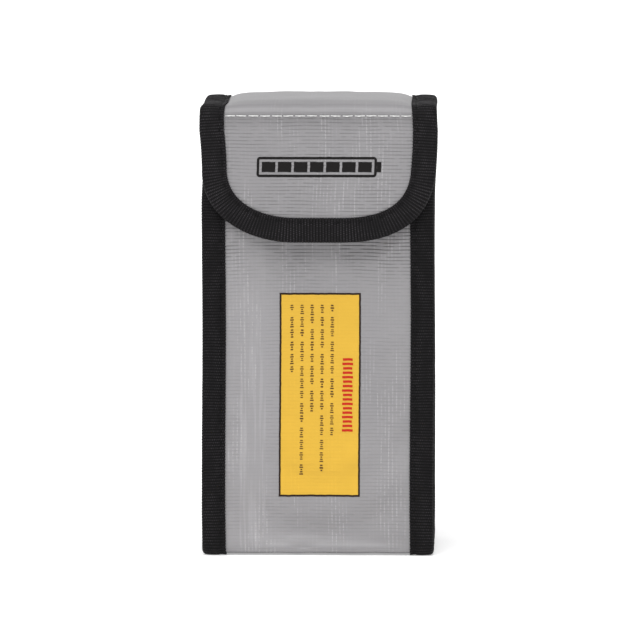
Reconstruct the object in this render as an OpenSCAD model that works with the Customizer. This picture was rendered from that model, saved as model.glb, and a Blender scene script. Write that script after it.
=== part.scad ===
// Fire-resistant pouch for lithium polymer battery packs: a box-shaped cloth bag with bound seams,
// and a flap in two parts that folds over the mouth and closes with hook and loop.
// Millimetres, +Z up, +Y to the back. The origin is on the ground, under the middle of the closed bag.

/* [Bag] */
// Width of the body across its side bindings
bag_w = 64; // [58:1:80]
// Depth of the closed bag, from the flap's binding to the back binding
bag_d = 50; // [40:1:70]
// Height of the closed bag
bag_h = 125; // [115:1:150]

/* [Cloth] */
// Thickness of the coated outer cloth
cloth_t = 0.7; // [0.5:0.1:0.9]
// Thickness of the lining cloth
lining_t = 0.5; // [0.3:0.1:0.7]
// Thickness of the binding tape
tape_t = 0.5; // [0.4:0.1:0.7]
// Width of each leg of the body's binding tape
tape_w = 6.5; // [5.5:0.5:8]
// Radius of the binding's outer corners under the bag
tape_corner = 1; // [0.8:0.1:1.2]

/* [Flap] */
// Width of the flap at its front crease
flap_w = 66; // [64:0.5:70]
// Width that the flap loses from its crease to the start of its curve
flap_taper = 1.6; // [0:0.2:2]
// Height of the flap's front, from the crease to its lowest edge
flap_drop = 37; // [34:0.5:45]
// Width of each leg of the flap's binding tape
flap_tape_w = 6.8; // [5.5:0.1:8]
// Half axis of the flap's corner curve across the bag, at the tape's inner edge
curve_across = 19.4; // [14:0.2:22]
// Half axis of the flap's corner curve down the bag, at the tape's inner edge
curve_down = 13.8; // [10:0.2:16]

/* [Closure] */
// Width of the hook strip on the flap
hook_w = 36; // [28:1:38]
// Height of the hook strip
hook_h = 15; // [10:1:15]
// Width of the loop strip on the body
loop_w = 40; // [30:1:44]
// Height of the loop strip
loop_h = 18; // [12:1:18]
// Thickness of the woven base of both strips
strip_base_t = 0.5; // [0.4:0.1:0.6]
// Height of the hooks and of the loops over their base
pile_t = 0.65; // [0.5:0.05:0.8]
// Gap between the hooks and the loops when the bag is closed
closure_gap = 0.25; // [0.2:0.05:0.4]

/* [Label] */
// Width of the printed label
label_w = 22.4; // [16:0.2:30]
// Height of the printed label
label_h = 56.4; // [40:0.2:60]
// Height of the label's lower edge over the ground
label_z = 16.4; // [10:0.2:20]
// Distance of the label's middle from the middle of the bag
label_x = 0.5; // [-2:0.1:2]
// Width of the label's dark border
border_w = 0.5; // [0.3:0.1:1]

/* [Thread] */
// Length from one stitch to the next
stitch_pitch = 3.1; // [2.5:0.1:4]
// Length of thread that shows in each stitch
stitch_l = 2.3; // [1.5:0.1:2.4]
// Thickness of the thread
thread_d = 0.3; // [0.2:0.05:0.35]

/* [Hidden] */

$fn = 48;
eps = 0.01;

// Colours
silver = [0.63, 0.63, 0.64];
lining_grey = [0.72, 0.72, 0.70];
black = [0.12, 0.12, 0.12];
white = [0.92, 0.92, 0.90];
yellow = [0.93, 0.75, 0.28];
label_dark = [0.16, 0.11, 0.05];
red = [0.80, 0.12, 0.08];

// Fold lines: both run along X, through the middle of the outer cloth
fold_z = bag_h - tape_t - cloth_t / 2;
back_fold_y = bag_d / 2 - tape_t - cloth_t / 2;
crease_y = -back_fold_y;
// Cloth that is kept clear of the fold lines, so that the flap turns freely
back_clear = 2.35;
crease_clear = 1.65;
cloth_back_clear = 1.1;
cloth_crease_clear = 0.6;
lining_clear = 1.2;

// Body, in steps inwards from the outer face of its binding
inset_cloth = tape_t;
inset_lining = inset_cloth + cloth_t;
inset_flange = inset_lining + lining_t;
inset_tape = inset_flange + cloth_t;
inset_inner = inset_tape + tape_t;
hook_t = strip_base_t + pile_t;
body_face_y = -bag_d / 2 + tape_t + cloth_t + lining_t + 2 * hook_t + closure_gap;
body_y0 = body_face_y - tape_t;
body_y1 = bag_d / 2;
mouth_z = fold_z - back_clear;
edge_z = mouth_z - tape_t;
edge_x = bag_w / 2 - tape_t;
tape_in_x = bag_w / 2 - tape_w;
gusset_gap = 0.2;
gusset_x = tape_in_x - gusset_gap;
cavity_x = gusset_x - cloth_t - lining_t;

// Flap
flap_face_y = -bag_d / 2 + tape_t;
flap_back_y = flap_face_y + cloth_t + lining_t;
flap_inner_w = flap_w / 2 - flap_tape_w;
curve_z = fold_z - flap_drop + flap_tape_w + curve_down;
flap_edge = flap_tape_w - tape_t;
arc_steps = 14;

// Closure strips, centred on each other
closure_z = bag_h - 20;
selvedge = 1.6;

// Stitches lie in a groove of the tape, this far from its inner edge
stitch_in = 1.2;
groove_w = 0.5;
groove_d = thread_d + 0.02;
seam_margin = 1.5;
crease_stitch_drop = 2.1;
strip_stitch_in = 0.8;
print_t = 0.15;

// Marks on the label, down its height: one wide bar, and lines of dashes to the left of it
heading_share = 0.36;
heading_w = 2.7;
heading_x = 0.84;
line_shares = [0.36, 0.86, 0.55, 0.86, 0.64];
line_w = 0.7;
first_line_x = 0.152;
line_step_x = 0.124;
line_top = 3.3;
dash_pitch = 3.4;
dash_gap = 0.5;

// ---- Shapes ----

module block(low, high) {
    translate(low) cube(high - low);
}

module on_left() {
    mirror([1, 0, 0]) children();
}

// A rectangle whose lower corners are round
module round_foot(x0, x1, z0, z1, r) {
    translate([x0 + r, z0]) square([x1 - x0 - 2 * r, z1 - z0]);
    translate([x0, z0 + r]) square([x1 - x0, z1 - z0 - r]);
    for (x = [x0 + r, x1 - r]) translate([x, z0 + r]) circle(r);
}

// Block as deep as the body, less an inset at the front, the back and below
module body_block(inset, x0, x1, top) {
    block([x0, body_y0 + inset, inset], [x1, body_y1 - inset, top]);
}

// The walls of a tray that is open at its top and at both sides
module tray_walls(outer, inner, x0, x1, top) {
    difference() {
        body_block(outer, x0, x1, top);
        body_block(inner, x0 - 1, x1 + 1, top + 1);
    }
}

// ---- Thread ----

// One stitch along a direction in the XZ plane, with its outer side at y
module stitch_xz(x, z, angle, y, side) {
    translate([x, y, z]) rotate([0, -angle, 0])
        translate([-stitch_l / 2, side > 0 ? 0 : -thread_d, -thread_d / 2])
            cube([stitch_l, thread_d, thread_d]);
}

// A row of stitches between two heights, on a face that looks along Y
module row_up(x, y, side, z0, z1) {
    count = floor((z1 - z0) / stitch_pitch);
    start = (z0 + z1 - (count - 1) * stitch_pitch) / 2;
    for (i = [0 : count - 1]) stitch_xz(x, start + i * stitch_pitch, 90, y, side);
}

// A row of stitches from x0 to x1, on a face that looks along Y
module row_across(x0, x1, y, side, z) {
    count = floor((x1 - x0) / stitch_pitch);
    start = (x0 + x1 - (count - 1) * stitch_pitch) / 2;
    for (i = [0 : count - 1]) stitch_xz(start + i * stitch_pitch, z, 0, y, side);
}

// A row of stitches along Y at (x, z), with the row's own x given by a function of y
module row_back(y0, y1, z) {
    count = floor((y1 - y0) / stitch_pitch);
    start = (y0 + y1 - (count - 1) * stitch_pitch) / 2;
    for (i = [0 : count - 1]) {
        y = start + i * stitch_pitch;
        translate([flap_half_w(y) - flap_tape_w + stitch_in, y, z])
            translate([-thread_d / 2, -stitch_l / 2, 0])
                cube([thread_d, stitch_l, thread_d]);
    }
}

// A rectangle of stitches round a closure strip
module strip_stitches(w, h, y, side) {
    half_w = w / 2 - strip_stitch_in;
    half_h = h / 2 - strip_stitch_in;
    for (z = [closure_z - half_h, closure_z + half_h])
        row_across(-half_w + seam_margin, half_w - seam_margin, y, side, z);
    for (x = [-half_w, half_w])
        row_up(x, y, side, closure_z - half_h + seam_margin, closure_z + half_h - seam_margin);
}

// ---- Body ----

module front_panel() {
    color(silver)
        block([-edge_x, body_face_y, inset_lining], [edge_x, body_face_y + cloth_t, edge_z]);
}

module back_panel() {
    y1 = body_y1 - inset_cloth;
    color(silver) {
        block([-edge_x, y1 - cloth_t, inset_lining], [edge_x, y1, fold_z]);
        translate([-edge_x, back_fold_y, fold_z]) rotate([0, 90, 0])
            cylinder(r = cloth_t / 2, h = 2 * edge_x);
    }
}

// Between the bindings the cloth reaches down to the ground, level with the tape
module bottom_panel() {
    y1 = body_y1 - inset_cloth;
    middle_x = tape_in_x - gusset_gap;
    color(silver) {
        block([-middle_x, body_face_y, 0], [middle_x, y1, cloth_t]);
        for (side = [0, 1]) mirror([side, 0, 0])
            block([middle_x - cloth_t, body_face_y, inset_cloth], [edge_x, y1, inset_lining]);
    }
}

module right_gusset() {
    color(silver) {
        body_block(inset_flange, gusset_x - cloth_t, gusset_x, edge_z);
        tray_walls(inset_flange, inset_tape, gusset_x - eps, edge_x, edge_z);
    }
}

module left_gusset() {
    on_left() right_gusset();
}

module front_lining() {
    y0 = body_face_y + cloth_t;
    color(lining_grey)
        block([-edge_x, y0, inset_flange], [edge_x, y0 + lining_t, edge_z]);
}

module back_lining() {
    y1 = body_y1 - inset_lining;
    color(lining_grey)
        block([-edge_x, y1 - lining_t, inset_flange], [edge_x, y1, fold_z - lining_clear]);
}

module bottom_lining() {
    color(lining_grey)
        block([-edge_x, body_y0 + inset_lining, inset_lining],
              [edge_x, body_y1 - inset_lining, inset_flange]);
}

module right_lining() {
    color(lining_grey)
        body_block(inset_flange, cavity_x, gusset_x - cloth_t, edge_z);
}

module left_lining() {
    on_left() right_lining();
}

// Tape folded over the seam fin down the front, under the bag and up the back
module right_binding() {
    color(black)
        difference() {
            intersection() {
                tray_walls(0, inset_inner, tape_in_x, bag_w / 2, mouth_z);
                translate([0, body_y1 + 1, 0]) rotate([90, 0, 0])
                    linear_extrude(body_y1 - body_y0 + 2)
                        round_foot(-bag_w / 2, bag_w / 2, 0, mouth_z, tape_corner);
                translate([tape_in_x - 1, 0, 0]) rotate([90, 0, 90])
                    linear_extrude(tape_w + 2)
                        round_foot(body_y0, body_y1, 0, mouth_z, tape_corner);
            }
            tray_walls(inset_cloth, inset_tape, tape_in_x - 1, edge_x, mouth_z + 1);
            binding_groove();
        }
}

module left_binding() {
    on_left() right_binding();
}

// Groove for the thread, on the outer face of the front and back legs
module binding_groove() {
    x = tape_in_x + stitch_in;
    for (y = [body_y0, body_y1 - groove_d])
        block([x - groove_w / 2, y - (y < 0 ? 1 : 0), seam_margin],
              [x + groove_w / 2, y + groove_d + (y < 0 ? 0 : 1), mouth_z + 1]);
}

module right_binding_stitches() {
    x = tape_in_x + stitch_in;
    color(black) {
        row_up(x, body_y0 + groove_d - eps, -1, seam_margin, mouth_z);
        row_up(x, body_y1 - groove_d + eps, 1, seam_margin, mouth_z);
    }
}

module left_binding_stitches() {
    on_left() right_binding_stitches();
}

// Tape folded over the free edge of the front panel
module mouth_front_binding() {
    outer_x = tape_in_x - gusset_gap;
    inner_x = cavity_x - gusset_gap;
    inner_y = body_face_y + cloth_t + lining_t;
    color(black) {
        block([-outer_x, body_y0, mouth_z - tape_w], [outer_x, body_face_y, mouth_z]);
        block([-outer_x, body_y0, edge_z], [outer_x, inner_y + tape_t, mouth_z]);
        block([-inner_x, inner_y, mouth_z - tape_w], [inner_x, inner_y + tape_t, mouth_z]);
    }
}

// Tape folded over the free edge of a gusset, between the front and back fins
module mouth_right_binding() {
    end_gap = 0.15;
    y0 = body_y0 + inset_inner + end_gap;
    y1 = body_y1 - inset_inner - end_gap;
    color(black) {
        block([gusset_x, y0, mouth_z - tape_w], [gusset_x + tape_t, y1, mouth_z]);
        block([cavity_x - tape_t, y0, edge_z], [gusset_x + tape_t, y1, mouth_z]);
        block([cavity_x - tape_t, y0, mouth_z - tape_w], [cavity_x, y1, mouth_z]);
    }
}

module mouth_left_binding() {
    on_left() mouth_right_binding();
}

// A closure strip: a woven base with a bare selvedge, and the pile on it
module strip(w, h, y, side) {
    top = y + side * strip_base_t;
    block([-w / 2, min(y, top), closure_z - h / 2], [w / 2, max(y, top), closure_z + h / 2]);
    pile = top + side * pile_t;
    block([-w / 2 + selvedge, min(top - side * eps, pile), closure_z - h / 2 + selvedge],
          [w / 2 - selvedge, max(top - side * eps, pile), closure_z + h / 2 - selvedge]);
}

module loop_strip() {
    color(black) strip(loop_w, loop_h, body_face_y, -1);
}

module loop_strip_stitches() {
    color(black) strip_stitches(loop_w, loop_h, body_face_y - strip_base_t - eps, -1);
}

module label_outline(inset) {
    translate([label_x - label_w / 2 + inset, label_z + inset])
        square([label_w - 2 * inset, label_h - 2 * inset]);
}

module printed(y) {
    translate([0, y, 0]) rotate([90, 0, 0]) linear_extrude(print_t) children();
}

module label_field() {
    color(yellow) printed(body_face_y) label_outline(border_w);
}

module label_border() {
    color(label_dark) printed(body_face_y)
        difference() {
            label_outline(0);
            label_outline(border_w);
        }
}

// A bar down the label: its middle at a share of the label's width, its top a distance below the
// label's top, printed over the field
module label_bar(share, w, drop, length) {
    printed(body_face_y - print_t)
        translate([label_x + label_w * (share - 0.5) - w / 2, label_z + label_h - drop - length])
            square([w, length]);
}

module label_heading() {
    length = label_h * heading_share;
    color(red) label_bar(heading_x, heading_w, (label_h - length) / 2, length);
}

// Length of dash i of a line, which differs from dash to dash
function dash_l(line, i) = (dash_pitch - dash_gap) * (0.5 + 0.5 * abs(sin(73 * i + 49 * line)));

module label_lines() {
    color(label_dark)
        for (line = [0 : len(line_shares) - 1]) {
            dashes = round(label_h * line_shares[line] / dash_pitch);
            for (i = [0 : dashes - 1])
                label_bar(first_line_x + line * line_step_x, line_w,
                          line_top + i * dash_pitch, dash_l(line, i));
        }
}

// ---- Top of the flap ----

// Half the flap's width at y, across the top
function flap_half_w(y) =
    bag_w / 2 + (flap_w - bag_w) / 2 * (back_fold_y - y) / (back_fold_y - crease_y);

// A plate across the top, from y0 to y1, between two distances in from the flap's edge
module top_edge_strip(inner, outer, y0, y1) {
    polygon([
        [flap_half_w(y0) - inner, y0], [flap_half_w(y0) - outer, y0],
        [flap_half_w(y1) - outer, y1], [flap_half_w(y1) - inner, y1]
    ]);
}

module top_plate(z, t, y0, y1) {
    translate([0, 0, z]) linear_extrude(t)
        polygon([
            [-flap_half_w(y0) + tape_t, y0], [flap_half_w(y0) - tape_t, y0],
            [flap_half_w(y1) - tape_t, y1], [-flap_half_w(y1) + tape_t, y1]
        ]);
}

module flap_top_panel() {
    color(silver)
        top_plate(fold_z - cloth_t / 2, cloth_t,
                  crease_y + cloth_crease_clear, back_fold_y - cloth_back_clear);
}

module flap_top_lining() {
    color(lining_grey)
        top_plate(fold_z - cloth_t / 2 - lining_t, lining_t,
                  crease_y + crease_clear, back_fold_y - lining_clear);
}

module flap_top_right_binding() {
    y0 = crease_y + crease_clear;
    y1 = back_fold_y - back_clear;
    z0 = bag_h - 2 * tape_t - cloth_t - lining_t;
    x_in = flap_tape_w - stitch_in;
    color(black)
        difference() {
            union() {
                translate([0, 0, bag_h - tape_t]) linear_extrude(tape_t)
                    top_edge_strip(flap_tape_w, 0, y0, y1);
                translate([0, 0, z0]) linear_extrude(tape_t)
                    top_edge_strip(flap_tape_w, 0, y0, y1);
                translate([0, 0, z0]) linear_extrude(bag_h - z0)
                    top_edge_strip(tape_t, 0, y0, y1);
            }
            translate([0, 0, bag_h - groove_d]) linear_extrude(1)
                top_edge_strip(x_in + groove_w / 2, x_in - groove_w / 2, y0 - 1, y1 + 1);
        }
}

module flap_top_left_binding() {
    on_left() flap_top_right_binding();
}

module right_top_row() {
    row_back(crease_y + crease_clear, back_fold_y - back_clear, bag_h - groove_d + eps);
}

module flap_top_stitches() {
    color(black) {
        right_top_row();
        on_left() right_top_row();
    }
}

// ---- Front of the flap ----

// Right half of the flap's outline, from the crease to the lowest point, this far outside the
// tape's inner edge: a straight side that narrows, then a quarter of an ellipse and its parallels
function flap_side(out, top) = concat(
    [[flap_inner_w + out - flap_taper / 2 * (fold_z - top) / (fold_z - curve_z), top]],
    [for (i = [0 : arc_steps])
        let (t = 90 * i / arc_steps,
             n = [cos(t) / curve_across, -sin(t) / curve_down],
             centre = flap_inner_w - flap_taper / 2 - curve_across)
        [centre + curve_across * cos(t) + out * n.x / norm(n),
         curve_z - curve_down * sin(t) + out * n.y / norm(n)]]
);

function mirrored(points) = [for (i = [len(points) - 1 : -1 : 0]) [-points[i].x, points[i].y]];

module flap_outline(out, top = fold_z) {
    side = flap_side(out, top);
    polygon(concat(side, mirrored(side)));
}

// A band of the flap's outline, between two distances from the tape's inner edge
module flap_band(inner, outer, top) {
    difference() {
        flap_outline(outer, top);
        flap_outline(inner, top + 1);
    }
}

// Stands a flat shape up, with its front at y
module upright(y, t) {
    translate([0, y + t, 0]) rotate([90, 0, 0]) linear_extrude(t) children();
}

module flap_panel() {
    color(silver) {
        upright(flap_face_y, cloth_t) flap_outline(flap_edge);
        translate([-flap_w / 2 + tape_t, crease_y, fold_z]) rotate([0, 90, 0])
            cylinder(r = cloth_t / 2, h = flap_w - 2 * tape_t);
    }
}

module flap_lining() {
    color(lining_grey)
        upright(flap_face_y + cloth_t, lining_t) flap_outline(flap_edge, fold_z - crease_clear);
}

module flap_binding() {
    top = fold_z - crease_clear;
    color(black)
        difference() {
            union() {
                upright(-bag_d / 2, tape_t) flap_band(0, flap_tape_w, top);
                upright(flap_back_y, tape_t) flap_band(0, flap_tape_w, top);
                upright(-bag_d / 2, flap_back_y + tape_t + bag_d / 2)
                    flap_band(flap_edge, flap_tape_w, top);
            }
            upright(-bag_d / 2 - 1, 1 + groove_d)
                flap_band(stitch_in - groove_w / 2, stitch_in + groove_w / 2, top + 1);
        }
}

// Distance along a line of points up to point i
function run(points, i) = i == 0 ? 0 : run(points, i - 1) + norm(points[i] - points[i - 1]);

// The point at distance s along a line of points, with the line's direction there
function walk(points, s, i = 1) =
    let (step = norm(points[i] - points[i - 1]))
    s <= step || i == len(points) - 1
        ? [points[i - 1] + (points[i] - points[i - 1]) * s / step,
           atan2(points[i].y - points[i - 1].y, points[i].x - points[i - 1].x)]
        : walk(points, s - step, i + 1);

module flap_binding_stitches() {
    side = flap_side(stitch_in, fold_z - crease_clear - seam_margin);
    path = concat(side, mirrored(side));
    total = run(path, len(path) - 1);
    count = floor(total / stitch_pitch);
    color(black)
        for (i = [0 : count - 1]) {
            at = walk(path, (i + 0.5) * total / count);
            stitch_xz(at[0].x, at[0].y, at[1], -bag_d / 2 + groove_d - eps, -1);
        }
}

module flap_crease_stitches() {
    color(white)
        row_across(-flap_inner_w, flap_inner_w, flap_face_y - eps, -1, fold_z - crease_stitch_drop);
}

module hook_strip() {
    color(black) strip(hook_w, hook_h, flap_back_y, 1);
}

module hook_strip_stitches() {
    color(black) strip_stitches(hook_w, hook_h, flap_back_y + strip_base_t + eps, 1);
}

// A plain battery symbol: a can, its terminal and charge bars
module flap_emblem() {
    can_w = 33;
    can_h = 5.6;
    cap_w = 1.2;
    wall = 0.7;
    bars = 7;
    bar_gap = 0.7;
    bar_w = (can_w - 2 * wall - (bars + 1) * bar_gap) / bars;
    color(black) printed(flap_face_y)
        translate([-cap_w / 2, closure_z + 3])
            union() {
                difference() {
                    square([can_w, can_h], center = true);
                    square([can_w - 2 * wall, can_h - 2 * wall], center = true);
                }
                translate([can_w / 2, -can_h / 4]) square([cap_w, can_h / 2]);
                for (i = [0 : bars - 1])
                    translate([-can_w / 2 + wall + bar_gap + i * (bar_w + bar_gap),
                               -can_h / 2 + wall + bar_gap])
                        square([bar_w, can_h - 2 * (wall + bar_gap)]);
            }
}

front_panel();
back_panel();
bottom_panel();
left_gusset();
right_gusset();
front_lining();
back_lining();
bottom_lining();
left_lining();
right_lining();
left_binding();
right_binding();
mouth_front_binding();
mouth_left_binding();
mouth_right_binding();
left_binding_stitches();
right_binding_stitches();
loop_strip();
loop_strip_stitches();
label_field();
label_border();
label_heading();
label_lines();
flap_top_panel();
flap_top_lining();
flap_top_left_binding();
flap_top_right_binding();
flap_top_stitches();
flap_panel();
flap_lining();
flap_binding();
flap_binding_stitches();
flap_crease_stitches();
hook_strip();
hook_strip_stitches();
flap_emblem();
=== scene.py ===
"""Looks for a fire-resistant battery bag: coated glass cloth, ribbed binding tape, a flap with hook and loop.

All lengths here are millimetres until a mesh is made. The bag is one long band of cloth that runs down
the front, under the bag, up the back, over the top and down the flap. A place on it is (x, s, inset):
x across the bag, s along the band from the mouth, and inset inwards from the outer face of the tape.
"""
import math

import bmesh
import bpy
import numpy as np
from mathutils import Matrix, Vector


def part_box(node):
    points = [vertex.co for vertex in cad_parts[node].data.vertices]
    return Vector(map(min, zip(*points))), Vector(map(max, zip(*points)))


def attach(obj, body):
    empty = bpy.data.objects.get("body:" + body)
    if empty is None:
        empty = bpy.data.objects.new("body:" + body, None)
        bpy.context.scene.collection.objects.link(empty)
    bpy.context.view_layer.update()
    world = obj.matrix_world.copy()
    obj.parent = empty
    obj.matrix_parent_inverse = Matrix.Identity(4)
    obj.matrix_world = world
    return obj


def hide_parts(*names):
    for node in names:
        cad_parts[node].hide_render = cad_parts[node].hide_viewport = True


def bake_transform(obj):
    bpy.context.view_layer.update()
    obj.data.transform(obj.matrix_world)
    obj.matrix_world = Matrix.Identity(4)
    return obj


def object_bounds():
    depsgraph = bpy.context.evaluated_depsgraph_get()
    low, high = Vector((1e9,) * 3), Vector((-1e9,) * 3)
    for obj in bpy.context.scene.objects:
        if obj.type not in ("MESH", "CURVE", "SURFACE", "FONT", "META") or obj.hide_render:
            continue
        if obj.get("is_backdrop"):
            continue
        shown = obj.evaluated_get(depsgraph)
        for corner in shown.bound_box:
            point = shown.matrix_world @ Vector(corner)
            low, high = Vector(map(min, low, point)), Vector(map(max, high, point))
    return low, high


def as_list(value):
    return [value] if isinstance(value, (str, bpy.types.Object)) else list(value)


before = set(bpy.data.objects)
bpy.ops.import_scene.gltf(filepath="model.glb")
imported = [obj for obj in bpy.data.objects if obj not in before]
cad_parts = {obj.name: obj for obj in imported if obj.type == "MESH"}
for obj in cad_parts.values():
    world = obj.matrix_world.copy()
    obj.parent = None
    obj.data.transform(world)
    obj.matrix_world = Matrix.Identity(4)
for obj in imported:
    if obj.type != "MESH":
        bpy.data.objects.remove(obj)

CAD_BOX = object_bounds()
MM = 0.001


def box_mm(node):
    """Lowest and highest corner of a CAD node, in mm."""
    low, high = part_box(node)
    return np.array(low) / MM, np.array(high) / MM


def stack(*parts):
    """Joins arrays along a new last axis: coordinates into points."""
    return np.stack(parts, -1)


def join(parts, axis=0):
    return np.concatenate(parts, axis)


def run_along(points):
    """The distance of each point from the start of their line."""
    return join([[0], np.cumsum(np.linalg.norm(np.diff(points, axis=0), axis=1))])


def share_of(value):
    """Keeps a value between 0 and 1."""
    return np.clip(value, 0, 1)


def ease(share):
    """A share from 0 to 1, with a smooth start and end."""
    return share * share * (3 - 2 * share)


def unit(vectors):
    """Vectors of length 1. A vector of no length stays as it is."""
    return vectors / (np.linalg.norm(vectors, axis=-1, keepdims=True) + 1e-9)


def new_object(name, data):
    made = bpy.data.objects.new(name, data)
    bpy.context.scene.collection.objects.link(made)
    return made


# ---- Sizes from the frame ----

binding_low, binding_high = box_mm("right_binding")
flap_low, flap_high = box_mm("flap_binding")
_, top_high = box_mm("flap_top_right_binding")
front_low, front_high = box_mm("front_panel")
lining_low, lining_high = box_mm("front_lining")
gusset_low, _ = box_mm("right_gusset")

FRONT_Y = binding_low[1]
BACK_Y = binding_high[1]
FLAP_Y = flap_low[1]
TOP_Z = top_high[2]
MOUTH_Z = binding_high[2]
FLAP_END_Z = flap_low[2]
HALF_W = binding_high[0]
FLAP_HALF_W = top_high[0]
TAPE_W = HALF_W - binding_low[0]
TAPE_T = front_low[1] - FRONT_Y
CLOTH_T = front_high[1] - front_low[1]
LINING_T = lining_high[1] - lining_low[1]
FIN_T = 3 * TAPE_T + 2 * CLOTH_T
FLAP_EDGE_T = flap_high[1] - FLAP_Y
GUSSET_X = gusset_low[0] + CLOTH_T / 2

# ---- Sizes that the frame doesn't give ----

# The band's turns, and the curve of the flap's edge: its reach across and down, and how much fuller than
# an ellipse it is on the right and on the left
CORNER_R = 3.2
FOLD_R = 3.0
FLARE_Z = 108
CURVE_ACROSS = 19.4
CURVE_DOWN = 13.8
CURVE_FULLNESS = (0.07, 0.02)
FLAP_TAPER = 0.8
GUSSET_BEND = 2.5
LEG_SHARE = 0.78
TURN_SHARE = 0.05

# Tape: the ribs' rings, how far they lean and stick out at the inner edge, and how the tape swells
# between its stitches and its edge
FLAP_TAPE_W = 6.8
TAPE_WALL = 0.42
RIB_PITCH = 0.8
RIB_HEIGHT = 0.11
RING_STEP = RIB_PITCH / 4
BEAD_PITCH = 0.5
TAPE_LEAN = 0.55
TEETH = 0.17
TUCK = 0.9
HELD_BY_TAPE = 1.2
PILLOW_H = 0.16
PINCH_DEPTH = 0.2
PINCH_W = 0.45

# Stitches: the line lies this far inside the tape's edge and this deep in it
STITCH_PITCH = 3.1
STITCH_L = 2.3
STITCH_IN = 1.2
STITCH_DEPTH = 0.16
STITCH_POINTS = 7
SEAM_STEP = 0.5
THREAD_R = 0.15
STRIP_THREAD_R = 0.12
CREASE_STITCH_Z = 122.05

# Weave and prints
WEAVE_PITCH = 0.98
WARP_PITCH = 1.05
# Where the painted highlight streaks run down the front: their place across, and half their width
STREAK_X = -18.0
STREAK_W = 3.6
PRINT_T = 0.05
RAGGED = 0.04
EMBLEM_WALL = 0.7
EMBLEM_CAP = 1.2
EMBLEM_CORNER_R = 0.9
HEADING_PITCH = 1.25
HEADING_GAP = 0.55
LINE_PITCH = 0.62
LINE_GAP = 0.28
TICK_SIDES = (0, 0.14, -0.1)

# Hook and loop: the free edge of each strip, the height of its threads and its stitches' line
SELVEDGE = 1.6
PILE_H = 0.62
STRIP_SEAM_IN = 0.8

# Softness: how far the cloth stands out or in, how far the whole bag bends, the heights that the
# simulated panels span, and the simulation's grid
TOP_DOME = 1.7
BACK_DISH = 1.2
ROOM_BEHIND = 0.55
FLAP_BULGE = 0.35
FLAP_DOME = 0.3
BOTTOM_SAG = 0.42
RIPPLE_H = 0.14
FINE_RIPPLE_H = 0.06
GUSSET_BOW = 1.5
GUSSET_WAVE = 0.35
SWAY_ACROSS = 0.28
SWAY_DEEP = 0.3
UPPER_SHIFT = 0.5
FRONT_FOLD_SHIFT = 0.15
FRONT_FOLD_PINCH = 0.6
FRONT_HIGH, FRONT_LOW = 112, 2
BACK_HIGH, BACK_LOW = 118, 3
SIM_GRID = 2.0
SIM_SCALE = 10
SIM_FRAMES = 30
GROUND_GIVE = 0.1

# Meshes: the spacing of points, finer in turns and in the strip that hinges
GRID = 1.0
TURN_GRID = 0.3
FOLD_GRID = 0.08
FOLD_LOW_Z = MOUTH_Z + 0.2
FOLD_HIGH_Z = TOP_Z - FLAP_EDGE_T - 0.25
PRINT_GRID = 0.5
PATH_STEP = 0.1
WELD = 1e-6
SHARP_ANGLE = math.radians(50)

# Colours
SILVER = (0.264, 0.257, 0.2655)
LINING_GREY = (0.42, 0.42, 0.4)
TAPE_BLACK = (0.0092, 0.0085, 0.0093)
THREAD_BLACK = (0.0052, 0.005, 0.0054)
THREAD_WHITE = (0.72, 0.72, 0.71)
LABEL_YELLOW = (0.618, 0.374, 0.0433)
LABEL_RED = (0.46, 0.02, 0.008)
LABEL_DARK = (0.018, 0.009, 0.005)
LABEL_BROWN = (0.085, 0.04, 0.013)
EMBLEM_BLACK = (0.006, 0.005, 0.005)
STRIP_BLACK = (0.005, 0.005, 0.0053)
HOOK_BLACK = (0.016, 0.016, 0.017)
LOOP_BLACK = (0.034, 0.034, 0.036)
WHITE = (1, 1, 1, 1)
FLOOR_WHITE = (0.9, 0.9, 0.9, 1)

# Insets from the outer face of the tape to the faces of each layer
CLOTH_OUT = TAPE_T
CLOTH_IN = CLOTH_OUT + CLOTH_T
LINING_IN = CLOTH_IN + LINING_T
FLANGE_MID = LINING_IN + CLOTH_T / 2
GUSSET_TOP_Z = MOUTH_Z - TAPE_T - 0.1


# ---- The band, seen from the side ----

class Band:
    """The line of the tape's outer face in the YZ plane, as straight legs joined by quarter turns."""

    STEP = 0.02

    def __init__(self, start, heading, legs):
        """legs are (name, length of the straight, radius of the turn after it)."""
        self.begin, self.end = {}, {}
        knots_s, knots_angle = [0.0], [heading]
        s, angle = 0.0, heading
        for name, straight, radius in legs:
            self.begin[name] = s
            s += straight
            self.end[name] = s
            knots_s.append(s)
            knots_angle.append(angle)
            if radius:
                s += radius * math.pi / 2
                angle += math.pi / 2
                knots_s.append(s)
                knots_angle.append(angle)
        self.length = s
        self.s = np.arange(0, s + self.STEP, self.STEP)
        self.angle = np.interp(self.s, knots_s, knots_angle)
        middle = (self.angle[1:] + self.angle[:-1]) / 2
        self.y = start[0] + join([[0], np.cumsum(np.cos(middle))]) * self.STEP
        self.z = start[1] + join([[0], np.cumsum(np.sin(middle))]) * self.STEP

    def point(self, s):
        return np.interp(s, self.s, self.y), np.interp(s, self.s, self.z)

    def along(self, s):
        """Unit direction of the band, as (y, z)."""
        angle = np.interp(s, self.s, self.angle)
        return np.cos(angle), np.sin(angle)

    def inward(self, s):
        cos, sin = self.along(s)
        return -sin, cos


depth = BACK_Y - FRONT_Y
band = Band((FRONT_Y, MOUTH_Z), -math.pi / 2, [
    ("front", MOUTH_Z - CORNER_R, CORNER_R),
    ("bottom", depth - 2 * CORNER_R, CORNER_R),
    ("back", TOP_Z - CORNER_R - FOLD_R, FOLD_R),
    ("top", BACK_Y - FLAP_Y - 2 * FOLD_R, FOLD_R),
    ("flap", TOP_Z - FOLD_R - FLAP_END_Z, 0),
])


def s_front(z):
    """Place along the band of a height on the front."""
    return MOUTH_Z - z


def s_back(z):
    return band.begin["back"] + z - CORNER_R


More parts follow.
